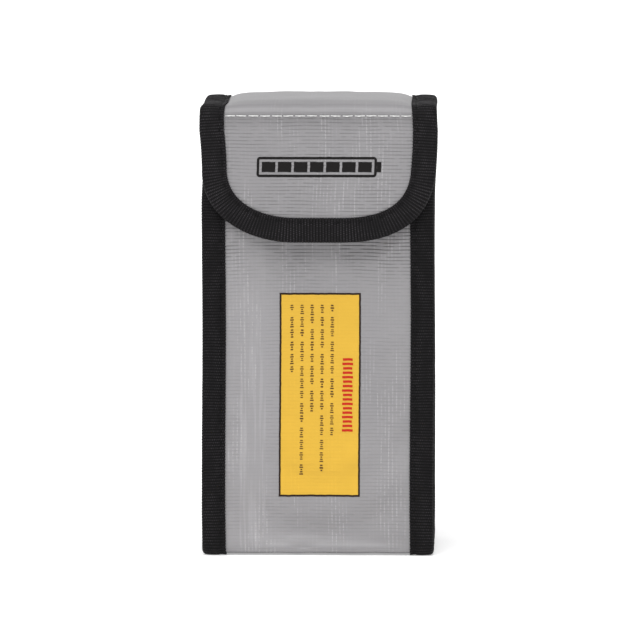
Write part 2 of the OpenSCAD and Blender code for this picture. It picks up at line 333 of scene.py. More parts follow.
def s_flap(z):
    return band.begin["flap"] + TOP_Z - FOLD_R - z


S_UNDER = band.end["bottom"] + CORNER_R * math.pi / 4
S_FLARE = s_back(FLARE_Z)
S_SPLIT_BACK = s_back(MOUTH_Z - 0.3)
S_SPLIT_TOP = (band.begin["top"] + band.end["top"]) / 2
CURVE_S = band.length - FLAP_TAPE_W - CURVE_DOWN


def half_width(s):
    """Half the width over the tapes."""
    return np.interp(s, [S_FLARE, band.end["top"], band.begin["flap"], CURVE_S],
                     [HALF_W, FLAP_HALF_W, FLAP_HALF_W, FLAP_HALF_W - FLAP_TAPER])


def tape_width(s):
    return np.interp(s, [S_FLARE, band.begin["top"]], [TAPE_W, FLAP_TAPE_W])


def tape_edge(s):
    """The place across of the inner edge of the right tape."""
    return half_width(s) - tape_width(s)


# ---- Softness ----

def smooth_window(value, low, high):
    """0 outside low..high, and a smooth hump of height 1 inside."""
    share = share_of((value - low) / (high - low))
    return np.sin(share * math.pi) ** 2


def waves(a, b, size, seed):
    """Smooth uneven waves of about the given size, between -1 and 1."""
    rng = np.random.default_rng(seed)
    total = 0
    count = 7
    for _ in range(count):
        direction = rng.uniform(0, 2 * math.pi)
        length = size * rng.uniform(0.7, 1.6)
        phase = rng.uniform(0, 2 * math.pi)
        run = (a * math.cos(direction) + b * math.sin(direction)) / length
        total = total + np.sin(2 * math.pi * run + phase)
    return total / count * 1.6


def plateau(value, low, high, rise, fall):
    """Rises from 0 at low to 1 at low + rise, and falls from 1 at high - fall to 0 at high."""
    up = share_of((value - low) / rise)
    down = share_of((high - value) / fall)
    return ease(up) * ease(down)


def settled_panel(width, length, slack, push):
    """Cloth simulation of a slack panel that is sewn in along its four edges and pushed outwards.

    It runs at ten times the size. Gives how far the panel stands out, in mm, in rows down its length."""
    cols, rows = round(width / SIM_GRID) + 1, round(length / SIM_GRID) + 1
    x, z = np.meshgrid(np.linspace(0, width, cols), np.linspace(0, -length, rows))
    points = stack(x, 0.3 * waves(x, z, 15, 71), z)
    index = np.arange(rows * cols).reshape(rows, cols)
    mesh = bpy.data.meshes.new("panel")
    mesh.from_pydata((points.reshape(-1, 3) * MM * SIM_SCALE).tolist(), [], grid_faces(index).tolist())
    panel = new_object("panel", mesh)
    sewn = panel.vertex_groups.new(name="sewn")
    edge = join([index[0], index[-1], index[:, 0], index[:, -1]])
    sewn.add(sorted(set(edge.tolist())), 1.0, "REPLACE")
    cloth = panel.modifiers.new("cloth", "CLOTH")
    settings = dict(vertex_group_mass="sewn", quality=6, mass=0.3, tension_stiffness=40,
                    compression_stiffness=40, bending_stiffness=3, shrink_min=-slack,
                    use_pressure=True, uniform_pressure_force=push)
    for name, value in settings.items():
        setattr(cloth.settings, name, value)
    cloth.collision_settings.use_self_collision = False
    cloth.point_cache.frame_start = 1
    cloth.point_cache.frame_end = SIM_FRAMES
    scene = bpy.context.scene
    for step in range(1, SIM_FRAMES + 1):
        scene.frame_set(step)
    shape = panel.evaluated_get(bpy.context.evaluated_depsgraph_get()).to_mesh()
    result = np.zeros(rows * cols * 3, np.float32)
    shape.vertices.foreach_get("co", result)
    scene.frame_set(1)
    bpy.data.objects.remove(panel)
    return -result.reshape(rows, cols, 3)[..., 1] / MM / SIM_SCALE


def sample(panel, across, down):
    """A panel's height at shares (0..1) of its width and length, smoothly between its points."""
    rows, cols = panel.shape
    col = share_of(across) * (cols - 1)
    row = share_of(down) * (rows - 1)
    left, above = np.minimum(col.astype(int), cols - 2), np.minimum(row.astype(int), rows - 2)
    u, v = ease(col - left), ease(row - above)
    near = panel[above, left] * (1 - u) + panel[above, left + 1] * u
    far = panel[above + 1, left] * (1 - u) + panel[above + 1, left + 1] * u
    inside = (across > 0) & (across < 1) & (down > 0) & (down < 1)
    return (near * (1 - v) + far * v) * inside


def relief(x, s):
    """How far the cloth stands out between its tapes: it sags, domes and ripples a little."""
    free = tape_edge(s)
    share = share_of(np.abs(x) / free)
    room = np.cos(share * math.pi / 2) ** 1.3
    full_room = 0.84 * (1 - share ** 12) + 0.16 * room
    bottom = smooth_window(s, band.begin["bottom"], band.end["bottom"])
    top = plateau(s, s_back(MOUTH_Z), s_flap(TOP_Z - FOLD_R), 7, 10)
    dished = plateau(s, s_back(4), s_back(MOUTH_Z), 20, 8)
    flap = smooth_window(s, s_flap(TOP_Z - 4), s_flap(FLAP_END_Z - 2))
    ripple = waves(x, s, 17, 3) * RIPPLE_H + waves(x * 1.8, s * 0.5, 9, 5) * FINE_RIPPLE_H
    ripple = ripple * plateau(s, s_front(MOUTH_Z - 8), s_flap(FLAP_END_Z), 20, 10)
    formed = BOTTOM_SAG * np.sqrt(bottom) + FLAP_DOME * flap
    across = (x / free + 1) / 2
    front = sample(front_relief, across, (s - s_front(FRONT_HIGH)) / (FRONT_HIGH - FRONT_LOW))
    bulge = smooth_window(s, s_front(FLAP_END_Z - 2.5), s_front(FLAP_END_Z - 11))
    front = front + FLAP_BULGE * bulge * smooth_window(x, -14, HALF_W)
    back = sample(back_relief, across, (s_back(BACK_HIGH) - s) / (BACK_HIGH - BACK_LOW))
    return room * (formed + ripple) + full_room * (TOP_DOME * top - BACK_DISH * dished) + front + back


def soften(points):
    """Bends every piece alike, so that no edge is dead straight. The ground stays flat."""
    x, y, z = points[..., 0], points[..., 1], points[..., 2]
    foot = share_of(z / 12)
    moved = points.copy()
    moved[..., 0] += foot * waves(y * 0.6, z, 62, 11) * SWAY_ACROSS
    moved[..., 1] += foot * waves(x * 0.8, z, 55, 12) * SWAY_DEEP
    behind = share_of((y - 8) / 14)
    moved[..., 1] -= ROOM_BEHIND * behind * plateau(z, 20, TOP_Z, 14, 14)
    fold = share_of((z - 118) / 7) * share_of((12 - y) / 20)
    moved[..., 0] += fold * (FRONT_FOLD_SHIFT - FRONT_FOLD_PINCH * x / HALF_W)
    moved[..., 0] += smooth_window(z, 96, 126) * UPPER_SHIFT
    moved[..., 2] = (z + np.sqrt(z ** 2 + 4 * GROUND_GIVE ** 2)) / 2
    return moved


def place(x, s, inset):
    """Points of the band at x, s and inset."""
    x, s, inset = np.broadcast_arrays(np.asarray(x, float), s, inset)
    depth_in = inset - relief(x, s)
    y, z = band.point(s)
    in_y, in_z = band.inward(s)
    return stack(x, y + depth_in * in_y, z + depth_in * in_z)


# ---- Meshes ----

def new_piece(name, points, faces, cloth, material):
    """A smooth piece from points in mm. cloth gives each point its place on the weave, in mm."""
    mesh = bpy.data.meshes.new(name)
    mesh.from_pydata((soften(points) * MM).tolist(), [], faces)
    flat = np.zeros((len(points), 3), np.float32)
    flat[:, :2] = cloth
    mesh.attributes.new("cloth", "FLOAT_VECTOR", "POINT").data.foreach_set("vector", flat.ravel())
    mesh.polygons.foreach_set("use_smooth", [True] * len(mesh.polygons))
    mesh.materials.append(material)
    return new_object(name, mesh)


def grid_faces(index):
    faces = stack(index[:-1, :-1], index[:-1, 1:], index[1:, 1:], index[1:, :-1])
    return faces.reshape(-1, 4)


def side_faces(rim, count):
    """Faces that join a line of outer points to the inner points behind it."""
    return stack(rim[:-1], rim[:-1] + count, rim[1:] + count, rim[1:])


def slabs(name, sheets, material, last_row_meets=False):
    """One mesh of closed sheets, each between two grids of points: (outer, inner, cloth).

    With last_row_meets, the two halves of the last row lie on each other and are welded."""
    points, faces, flats, used = [], [], [], 0
    for outer, inner, cloth in sheets:
        rows, cols = outer.shape[:2]
        count = rows * cols
        index = np.arange(count).reshape(rows, cols) + used
        rims = [index[0], index[:, -1], index[:, 0]] + ([] if last_row_meets else [index[-1]])
        faces += [grid_faces(index), grid_faces(index + count), *[side_faces(r, count) for r in rims]]
        points += [outer.reshape(-1, 3), inner.reshape(-1, 3)]
        flats += [cloth.reshape(-1, 2)] * 2
        used += 2 * count
    piece = new_piece(name, join(points), join(faces).tolist(), join(flats), material)
    edit = bmesh.new()
    edit.from_mesh(piece.data)
    if last_row_meets:
        bmesh.ops.remove_doubles(edit, verts=edit.verts, dist=WELD)
        bmesh.ops.dissolve_degenerate(edit, edges=edit.edges, dist=WELD)
    bmesh.ops.recalc_face_normals(edit, faces=edit.faces)
    edit.to_mesh(piece.data)
    edit.free()
    piece.data.set_sharp_from_angle(angle=SHARP_ANGLE)
    return piece


def lines(low, high, step):
    """Evenly spaced values from low to high, about step apart."""
    return np.linspace(low, high, max(2, round(abs(high - low) / step) + 1))


def rows_along(low, high):
    """Places along the band: closest where the flap hinges, close round its turns, wider elsewhere."""
    names = list(band.begin)
    turns = [(band.end[a], band.begin[b]) for a, b in zip(names, names[1:])]
    fold = (s_back(FOLD_LOW_Z - 0.3), s_back(FOLD_HIGH_Z + 1.2))
    cuts = sorted({low, high, *[c for turn in (*turns, fold) for c in turn if low < c < high]})
    parts = []
    for a, b in zip(cuts, cuts[1:]):
        middle = (a + b) / 2
        turning = any(begin <= middle <= end for begin, end in turns)
        step = FOLD_GRID if fold[0] <= middle <= fold[1] else TURN_GRID if turning else GRID
        parts.append(lines(a, b, step)[:-1])
    return join([*parts, [high]])


def band_sheet(x, s, inset_out, inset_in):
    """A layer of the band between two insets, for slabs(). x and s are grids."""
    return place(x, s, inset_out), place(x, s, inset_in), stack(x, s)


def print_patch(x0, x1, s0, s1, under=CLOTH_OUT, thickness=PRINT_T):
    """A printed rectangle on the band. Its edges follow the weave's bumps."""
    x, s = np.meshgrid(lines(x0, x1, PRINT_GRID), lines(s0, s1, PRINT_GRID))
    x = x + RAGGED * waves(x * 0, s, 1.7, 21) * (np.abs(x - (x0 + x1) / 2) > (x1 - x0) / 2 - 0.01)
    s = s + RAGGED * waves(x, s * 0, 1.9, 22) * (np.abs(s - (s0 + s1) / 2) > (s1 - s0) / 2 - 0.01)
    return band_sheet(x, s, under - thickness, under)


def print_frame(x0, x1, s0, s1, wall, radius):
    """A printed frame with round corners: a closed path of bars as wide as wall, inside the box."""
    turn = np.radians(lines(0, 90, 15))
    path = []
    right, left, bottom, top = x1 - radius, x0 + radius, s1 - radius, s0 + radius
    for quarter, (x, s) in enumerate([(right, bottom), (left, bottom), (left, top), (right, top)]):
        angle = turn + quarter * math.pi / 2
        path.append(stack(x + radius * np.cos(angle), s + radius * np.sin(angle), angle))
    sides = []
    for i, corner in enumerate(path):
        after = path[(i + 1) % 4][0]
        share = lines(0, 1, PRINT_GRID / max(PRINT_GRID, np.hypot(*(after[:2] - corner[-1][:2]))))
        straight = corner[-1] + (after - corner[-1]) * share[:, None]
        straight[:, 2] = corner[-1][2]
        sides += [corner, straight[1:-1]]
    ring = join([*sides, path[0][:1]])
    inwards = np.linspace(0, wall, 3)
    ragged = RAGGED * waves(ring[:, 0], ring[:, 1], 1.8, 23)
    ragged[-1] = ragged[0]
    out = inwards[None, :] - ragged[:, None] * (inwards[None, :] < wall / 2)
    x = ring[:, :1] - out * np.cos(ring[:, 2:])
    s = ring[:, 1:2] - out * np.sin(ring[:, 2:])
    return band_sheet(x, s, CLOTH_OUT - PRINT_T, CLOTH_OUT)


def tubes(name, paths, radius, sides, material):
    """One mesh of thin tubes. paths is (tubes, points, 3), and radius is a number or one for each point."""
    many, count = paths.shape[:2]
    along = unit(np.gradient(paths, axis=1))
    aside = unit(np.cross(along, np.array([0.31, 0.67, 0.67])))
    third = np.cross(along, aside)
    angle = (np.arange(sides) * 2 * math.pi / sides)[:, None]
    thick = np.broadcast_to(radius, (count,))[None, :, None, None]
    ring = np.cos(angle) * aside[:, :, None] + np.sin(angle) * third[:, :, None]
    ring = paths[:, :, None] + thick * ring
    index = np.arange(many * count * sides).reshape(many, count, sides)
    near, far = index[:, :-1], index[:, 1:]
    walls = stack(near, np.roll(near, -1, -1), np.roll(far, -1, -1), far).reshape(-1, 4)
    faces = walls.tolist() + index[:, 0, ::-1].tolist() + index[:, -1].tolist()
    _, ring_number, side_number = np.indices(index.shape)
    cloth = stack(side_number, ring_number).reshape(-1, 2)
    return new_piece(name, ring.reshape(-1, 3), faces, cloth, material)


def stitches(name, seams, material, length=STITCH_L, radius=THREAD_R):
    """Rows of stitches. Each seam is (points, outward): a line on the surface and its outward directions."""
    rng = np.random.default_rng(31)
    rows = []
    for line, outward in seams:
        run = run_along(line)
        count = int(run[-1] / STITCH_PITCH)
        middle = (np.arange(count) + 0.5) * run[-1] / count + rng.uniform(-0.12, 0.12, count)
        share = np.linspace(-0.5, 0.5, STITCH_POINTS)
        at = np.clip(middle[:, None] + share * length, 0, run[-1])
        point = stack(*[np.interp(at, run, line[:, k]) for k in range(3)])
        up = stack(*[np.interp(at, run, outward[:, k]) for k in range(3)])
        lift = radius * (1.3 - 3.4 * np.abs(2 * share) ** 4)
        rows.append(point + up * lift[None, :, None])
    taper = 1 - 0.35 * np.abs(2 * np.linspace(-0.5, 0.5, STITCH_POINTS)) ** 3
    return tubes(name, join(rows), radius * taper, 6, material)


# ---- Binding tape ----

def tape_section(width, thickness):
    """The folded tape's outer face, from its edge on the front round to its edge behind.

    For each ring: places outwards from the tape's inner edge, depths, and the outward direction."""
    radius = thickness / 2
    share = np.linspace(0, 1, 12)[None, :-1]
    straight = width - radius
    front_a = share * straight[:, None]
    beyond = share_of((front_a - STITCH_IN) / (straight[:, None] - STITCH_IN))
    pillow = -PILLOW_H * np.sin(beyond * math.pi)
    pinch = PINCH_DEPTH * np.exp(-((front_a - STITCH_IN) / PINCH_W) ** 2)
    front_n = pillow + pinch
    turn = np.radians(np.linspace(-90, 90, 8))[None, :]
    edge_a = straight[:, None] + radius[:, None] * np.cos(turn)
    edge_n = radius[:, None] + radius[:, None] * np.sin(turn)
    back_a = (1 - np.linspace(0, 1, 7)[None, 1:]) * straight[:, None]
    back_n = np.broadcast_to(thickness[:, None], back_a.shape)
    a = join([front_a, edge_a, back_a], 1)
    n = join([front_n, edge_n, back_n], 1)
    out_a = join([0 * front_a, np.cos(turn) + 0 * edge_a, 0 * back_a], 1)
    out_n = join([0 * front_a - 1, np.sin(turn) + 0 * edge_a, 0 * back_a + 1], 1)
    return a, n, out_a, out_n


def tape(base, lateral, inward, along, width, thickness, side=1, closed_ends=False):
    """A tape folded over an edge, for slabs(). Each ring has a point at the tape's inner edge, the
    direction across the tape to the bound edge, and the direction through the edge to the back.
    Its place on the weave is the distance across in mm and the count of ribs along.
    With closed_ends, the tape is tucked in at both ends and hides the layers that it binds."""
    count = len(base)
    width = np.broadcast_to(width, (count,))
    thickness = np.broadcast_to(thickness, (count,))
    a, n, out_a, out_n = tape_section(width, thickness)
    lean = TAPE_LEAN * waves(along, along * 0, 34, 41)[:, None] * (1 - a / width[:, None])
    phase = along[:, None] / RIB_PITCH + lean
    rib = RIB_HEIGHT * (0.5 + 0.5 * np.cos(2 * math.pi * phase))
    rib = rib * (0.85 + 0.3 * waves(a * 2, along[:, None], 9, 42))
    teeth = TEETH * np.cos(2 * math.pi * phase) * (a < 0.2)

    def at(across, through):
        return base[:, None] + across[..., None] * lateral[:, None] + through[..., None] * inward[:, None]

    outer = at(a + out_a * rib - teeth, n + out_n * rib)
    tuck = np.zeros((count, 1))
    if closed_ends:
        tuck = share_of(1 - np.minimum(along - along[0], along[-1] - along) / TUCK)[:, None]
    middle = thickness[:, None] / 2
    inner_a = a - out_a * TAPE_WALL
    inner_a = inner_a + (np.minimum(inner_a, width[:, None] - middle) - inner_a) * tuck
    inner_n = n - out_n * TAPE_WALL
    inner = at(inner_a, inner_n + (middle - inner_n) * tuck)
    mirror = np.array([side, 1, 1])
    run = np.cumsum(np.hypot(np.diff(a, axis=1, prepend=0), np.diff(n, axis=1, prepend=0)), axis=1)
    return outer * mirror, inner * mirror, stack(run, phase)


def directions(s):
    """Directions along and into the band at s, in 3D."""
    y, z = band.along(s)
    in_y, in_z = band.inward(s)
    return stack(0 * s, y, z), stack(0 * s, in_y, in_z)


ACROSS = np.array([1.0, 0, 0])
UP = np.array([0, 0, 1.0])


def side_tape(s0, s1, side, thickness, closed_ends=False, ring_step=RING_STEP):
    """The binding down one side of the band, from s0 to s1."""
    s = lines(s0, s1, ring_step)
    _, inward = directions(s)
    base = place(tape_edge(s), s, 0)
    lateral = np.broadcast_to(ACROSS, base.shape)
    return tape(base, lateral, inward, s, tape_width(s), thickness, side, closed_ends)


def side_seam(s0, s1, side):
    """The line of stitches on the side tape."""
    s = lines(s0, s1, SEAM_STEP)
    _, inward = directions(s)
    return place(tape_edge(s) + STITCH_IN, s, STITCH_DEPTH) * np.array([side, 1, 1]), -inward


def flap_edge_path(step):
    """The inner edge of the tape round the flap, from the middle of the right side of the top to the
    middle of its left side: x, s and the angle of the direction across the tape."""
    s = lines(S_SPLIT_TOP, CURVE_S, PATH_STEP)
    side = stack(tape_edge(s), s)
    turn = np.radians(lines(0, 90, 0.5))
    centre = side[-1, 0] - CURVE_ACROSS
    halves = []
    for fullness in CURVE_FULLNESS:
        full = 1 + fullness * np.sin(2 * turn) ** 2
        curve = stack(centre + CURVE_ACROSS * full * np.cos(turn),
                      CURVE_S + CURVE_DOWN * full * np.sin(turn))
        x = lines(centre, 0, PATH_STEP)
        foot = stack(x, 0 * x + curve[-1, 1])
        halves.append(join([side, curve[1:], foot[1:]]))
    path = join([halves[0], halves[1][-2::-1] * np.array([-1, 1])])
    run = run_along(path)
    even = lines(0, run[-1], PATH_STEP)
    even_path = stack(*[np.interp(even, run, path[:, k]) for k in range(2)])
    heading = np.gradient(even_path, axis=0)
    angle = np.unwrap(np.arctan2(-heading[:, 0], heading[:, 1]))
    middle = even_path + FLAP_TAPE_W / 2 * stack(np.cos(angle), np.sin(angle))
    run = run_along(middle)
    at = lines(0, run[-1], step)
    return at, *[np.interp(at, run, column) for column in (*even_path.T, angle)]


def flap_tape():
    run, x, s, angle = flap_edge_path(RING_STEP)
    forward, inward = directions(s)
    lateral = np.cos(angle)[:, None] * ACROSS + np.sin(angle)[:, None] * forward
    along = S_SPLIT_TOP + np.minimum(run, run[-1] - run)
    return tape(place(x, s, 0), lateral, inward, along, tape_width(s), FLAP_EDGE_T)


def flap_seam():
    """The line of stitches on the tape round the flap."""
    _, x, s, angle = flap_edge_path(SEAM_STEP)
    _, inward = directions(s)
    return place(x + STITCH_IN * np.cos(angle), s + STITCH_IN * np.sin(angle), STITCH_DEPTH), -inward


def flap_rows(inside):
    """Rows of the flap's front half: s, and half the width of the cloth this far inside the edge."""
    straight = rows_along(S_SPLIT_TOP, CURVE_S)
    turn = np.radians(lines(0, 90, 2.5))[1:]
    out = FLAP_TAPE_W - inside
    centre = float(half_width(CURVE_S)) - FLAP_TAPE_W - CURVE_ACROSS
    normal = stack(np.cos(turn) / CURVE_ACROSS, np.sin(turn) / CURVE_DOWN)
    normal /= np.linalg.norm(normal, axis=1, keepdims=True)
    x = centre + CURVE_ACROSS * np.cos(turn) + out * normal[:, 0]
    s = CURVE_S + CURVE_DOWN * np.sin(turn) + out * normal[:, 1]
    return join([straight, s]), join([half_width(straight) - inside, x])


def tray_point(share, depth_in, x):
    """Points of a side gusset. share runs 0..1 down the front, under the bag and up the back, depth_in is
    the distance in from the band, and x the place across. share, depth_in and x are grids."""
    half = depth / 2
    in_share = share_of((depth_in - FLANGE_MID) / (half - FLANGE_MID))
    radius = (CORNER_R - FLANGE_MID) * (1 - in_share) + 6 * in_share * (1 - in_share)
    folded = np.minimum(share, 1 - share) * 2
    down = share_of(folded / LEG_SHARE)
    turn = share_of((folded - LEG_SHARE) / TURN_SHARE) * math.pi / 2
    across = share_of((folded - LEG_SHARE - TURN_SHARE) / (1 - LEG_SHARE - TURN_SHARE))
    corner = depth_in + radius
    z_leg = GUSSET_TOP_Z + (corner - GUSSET_TOP_Z) * down
    y = corner - radius * np.cos(turn) + (half - corner) * across
    z = z_leg - radius * np.sin(turn)
    y = np.where(share > 0.5, depth - y, y)
    return stack(x, FRONT_Y + y, z)


def gusset_bow(x, y, z):
    """How far the gusset leans into the bag. Only its wall does, not the bend by the seam."""
    on_wall = share_of((GUSSET_X + GUSSET_BEND - x) / GUSSET_BEND)
    across = np.cos(np.clip((y - FRONT_Y - depth / 2) / (depth / 2 - FLANGE_MID), -1, 1) * math.pi / 2)
    up = share_of(z / 45) ** 0.5
    level = np.minimum(z, MOUTH_Z - TAPE_W)
    return on_wall * across ** 1.5 * up * (GUSSET_BOW + GUSSET_WAVE * waves(y * 1.5, level, 26, 61))


def bend_rows(turn):
    """Rows round the gusset's bend: x, depth and the outward direction at each angle."""
    return stack(GUSSET_X + GUSSET_BEND * (1 - np.sin(turn)), FLANGE_MID + GUSSET_BEND * (1 - np.cos(turn)),
                 np.sin(turn), np.cos(turn))


def wall_rows(step):
    """Rows over the gusset's wall, from after its bend to its middle line."""
    wall = lines(FLANGE_MID + GUSSET_BEND, depth / 2, step)[1:]
    return stack(0 * wall + GUSSET_X, wall, 0 * wall + 1, 0 * wall)


def gusset_profile(start):
    """Rows of a gusset from its rim in the seam, round the bend and over the wall to its middle line.

    start is the share of the bend where it begins, or a negative number for the rim."""
    rows = [bend_rows(np.linspace(max(start, 0), 1, 9) * math.pi / 2), wall_rows(GRID)]
    if start < 0:
        rim = lines(HALF_W - 0.6, GUSSET_X + GUSSET_BEND, GRID)[:-1]
        rows.insert(0, stack(rim, 0 * rim + FLANGE_MID, 0 * rim, 0 * rim + 1))
    return join(rows)


def gusset(name, side, start, offset_out, offset_in, material):
    """A layer of a gusset between two offsets outwards from its middle. start is as in gusset_profile."""
    half = join([np.linspace(0, LEG_SHARE, 90)[:-1],
                 LEG_SHARE + TURN_SHARE * np.linspace(0, 1, 9)[:-1],
                 np.linspace(LEG_SHARE + TURN_SHARE, 1, 18)]) / 2
    x, depth_in, out_x, out_depth = (column[:, None] for column in gusset_profile(start).T)
    share = join([half, 1 - half[-2::-1]]) + 0 * x

    def layer(offset):
        points = tray_point(share, depth_in + out_depth * offset, x + out_x * offset + 0 * share)
        points[..., 0] -= gusset_bow(x, points[..., 1], points[..., 2])
        return points * np.array([side, 1, 1])

    outer = layer(offset_out)
    return slabs(name, [(outer, layer(offset_in), outer[..., 1:3])], material, last_row_meets=True)


def mouth_side_tape(side):
    """The binding on the top edge of a gusset, from bend to bend."""
    bend = bend_rows(np.radians(lines(0, 90, 4)))
    bend = join([bend[:1] + [[1.2, 0, 0, 0]], bend])
    near = join([bend, wall_rows(0.5)])
    far = near[-2::-1] * np.array([1, -1, 1, -1]) + np.array([0, depth, 0, 0])
    path = join([near, far])
    run = run_along(path[:, :2])
    along = lines(0, run[-1], RING_STEP)
    x, y, out_x, out_y = (np.interp(along, run, path[:, k]) for k in range(4))
    z = 0 * along + MOUTH_Z - TAPE_W
    y = y + FRONT_Y
    skin = CLOTH_T / 2 + TAPE_T
    base = stack(x + out_x * skin - gusset_bow(x, y, z), y + out_y * skin, z)
    lateral = np.broadcast_to(UP, base.shape)
    inward = -stack(out_x, out_y, 0 * out_x)
    return tape(base, lateral, inward, along, TAPE_W, FLAP_EDGE_T, side)


def mouth_front_tape():
    """The binding on the top edge of the front, between the side bindings."""
    x = lines(TAPE_W - HALF_W, HALF_W - TAPE_W, RING_STEP)
    base = place(x, 0 * x + TAPE_W, 0)
    lateral = np.broadcast_to(UP, base.shape)
    inward = np.broadcast_to(np.array([0, 1.0, 0]), base.shape)
    return tape(base, lateral, inward, x, TAPE_W, FLAP_EDGE_T)


# ---- Hook and loop ----

INSIDE = np.array([1, -1, 1, -1])


def strip_box(node, to_s):
    """The place of a CAD node on the band: x0, x1, s0, s1."""
    low, high = box_mm(node)
    return np.array([low[0], high[0], to_s(high[2]), to_s(low[2])])


def pile(name, box, root, height, pitch, shape, radius, seed, material):
    """Short bent threads that stand unevenly on a strip. shape gives places along (a, up) as shares of
    height, and root is the inset of the strip's face. A negative height stands outwards."""
    rng = np.random.default_rng(seed)
    x0, x1, s0, s1 = box + SELVEDGE * INSIDE
    x, s = (grid.ravel() for grid in np.meshgrid(np.arange(x0, x1, pitch), np.arange(s0, s1, pitch)))
    x = x + rng.uniform(-0.12, 0.12, x.size) * pitch
    s = s + rng.uniform(-0.12, 0.12, s.size) * pitch
    chance = rng.uniform(0, 1, x.size)[:, None]
    turn = (chance - 0.5) * 1.3
    a, up = shape.T
    reach = abs(height) * a
    inset = root + height * up * (0.85 + 0.15 * chance)
    path = place(x[:, None] + reach * np.cos(turn), s[:, None] + reach * np.sin(turn), inset)
    return tubes(name, path, radius, 4, material)


def strip_seam(box, inset, outward):
    """The lines of stitches round a strip."""
    x0, x1, s0, s1 = box + STRIP_SEAM_IN * INSIDE
    corners = np.array([[x0, s0], [x1, s0], [x1, s1], [x0, s1]])
    seams = []
    for i in range(4):
        share = lines(0, 1, 0.02)[:, None]
        at = corners[i] + (corners[(i + 1) % 4] - corners[i]) * share
        _, inward = directions(at[:, 1])
        seams.append((place(at[:, 0], at[:, 1], inset), inward * outward))
    return seams


# ---- Materials ----

class Value:
    """A number that varies over a surface. Sums, products and steps of values make shader nodes."""

    def __init__(self, shading, socket):
        self.shading = shading
        self.socket = socket

    def math(self, operation, *others):
        node = self.shading.node("Math", dict(enumerate((self, *others))), operation=operation)
        return Value(self.shading, node.outputs[0])

    def __add__(self, other):
        return self.math("ADD", other)

    def __mul__(self, other):
        return self.math("MULTIPLY", other)

    def __sub__(self, other):
        return self + -1 * other

    def __rsub__(self, other):
        return other + -1 * self

    def __truediv__(self, number):
        return self * (1 / number)

    __radd__ = __add__
    __rmul__ = __mul__

    def ramp(self, low, high, to_low=0.0, to_high=1.0):
        """A smooth step from to_low to to_high as the value goes from low to high."""
        inputs = {"Value": self, "From Min": low, "From Max": high, "To Min": to_low, "To Max": to_high}
        node = self.shading.node("MapRange", inputs, interpolation_type="SMOOTHSTEP")
        return Value(self.shading, node.outputs["Result"])


class Shading:
    """The node tree of a material or world, and short ways to add nodes to it."""

    def __init__(self, data):
        data.use_nodes = True
        self.data = data
        self.nodes = data.node_tree.nodes

    def feed(self, node, inputs):
        """Links values and sockets to a node's inputs, or sets the inputs to numbers or colours."""
        for key, value in inputs.items():
            value = getattr(value, "socket", value)
            if isinstance(value, bpy.types.NodeSocket):
                self.data.node_tree.links.new(value, node.inputs[key])
            else:
                node.inputs[key].default_value = value

    def node(self, kind, inputs, **settings):
        node = self.nodes.new("ShaderNode" + kind)
        for name, setting in settings.items():
            setattr(node, name, setting)
        self.feed(node, inputs)
        return node

    def split(self, vector):
        """The parts of a vector, as values."""
        return [Value(self, part) for part in self.node("SeparateXYZ", {0: vector}).outputs]


class Material(Shading):
    """A procedural material. x and s are the place on the cloth, in mm: across and along."""

    def __init__(self, name):
        super().__init__(bpy.data.materials.new(name))
        place = self.node("Attribute", {}, attribute_name="cloth")
        self.x, self.s, _ = self.split(place.outputs["Vector"])

    def noise(self, a, b, detail=1.0, seed=0.0):
        """Noise from about 0.2 to 0.8, where a and b are lengths in units of its grain."""
        vector = self.node("CombineXYZ", {0: a, 1: b, 2: seed}).outputs[0]
        node = self.node("TexNoise", {"Vector": vector, "Scale": 1.0, "Detail": detail})
        return Value(self, node.outputs["Fac"])

    def set(self, **inputs):
        named = {name.replace("_", " "): value for name, value in inputs.items()}
        self.feed(self.nodes["Principled BSDF"], named)

    def finish(self, colour, tone, height, roughness, shine=0.5, strength=1.0):
        """Shades the colour by tone and adds bumps of this height, in mm. Gives Blender's material."""
        shaded = self.node("VectorMath", {0: colour, "Scale": tone}, operation="SCALE")
        bump = self.node("Bump", {"Distance": MM, "Strength": strength, "Height": height})
        self.set(Base_Color=shaded.outputs[0], Normal=bump.outputs["Normal"], Roughness=roughness,
                 Specular_IOR_Level=shine)
        return self.data


def weave(material):
    """The coated weave: how deep its gaps are, and how much its light upright threads show (both 0..1)."""
    x, s = material.x, material.s
    row = s / WEAVE_PITCH + 0.8 * material.noise(x / 14, s / 30, seed=1.0)
    row_number = (row + 0.5).math("FLOOR")
    row_edge = 2.0 * row.math("PINGPONG", 0.5)
    column = x / WARP_PITCH + 1.6 * material.noise(x / 9, s / 40, seed=8.0)
    thread_number = column.math("FLOOR")
    side = 2.0 * column.math("PINGPONG", 0.5)

    broken = material.noise(x / 3.2, 7.3 * row_number, seed=2.0).ramp(0.33, 0.54, 0.25, 1.0)
    patches = material.noise(x / 12, s / 15, seed=3.0).ramp(0.34, 0.6, 0.5, 1.0)
    gap = row_edge.ramp(0.5, 0.05) * broken * patches

    which = material.noise(5.7 * thread_number, s / 13, seed=4.0).ramp(0.36, 0.54)
    bead = material.noise(3.9 * thread_number, 3.1 * row_number, seed=5.0).ramp(0.38, 0.56, 0.15, 1.0)
    zone = material.noise(x / 8, s / 34, seed=9.0).ramp(0.47, 0.6, 0.1, 1.0)
    threads = side.ramp(0.5, 0.85) * row_edge.ramp(0.05, 0.4, 0.25, 1.0) * which * bead * zone
    return gap - 0.4 * threads, threads


def cloud(material, size, seed):
    """Slow changes, from about -0.5 to 0.5."""
    return material.noise(material.x / size, material.s / size, 3.0, seed) - 0.5


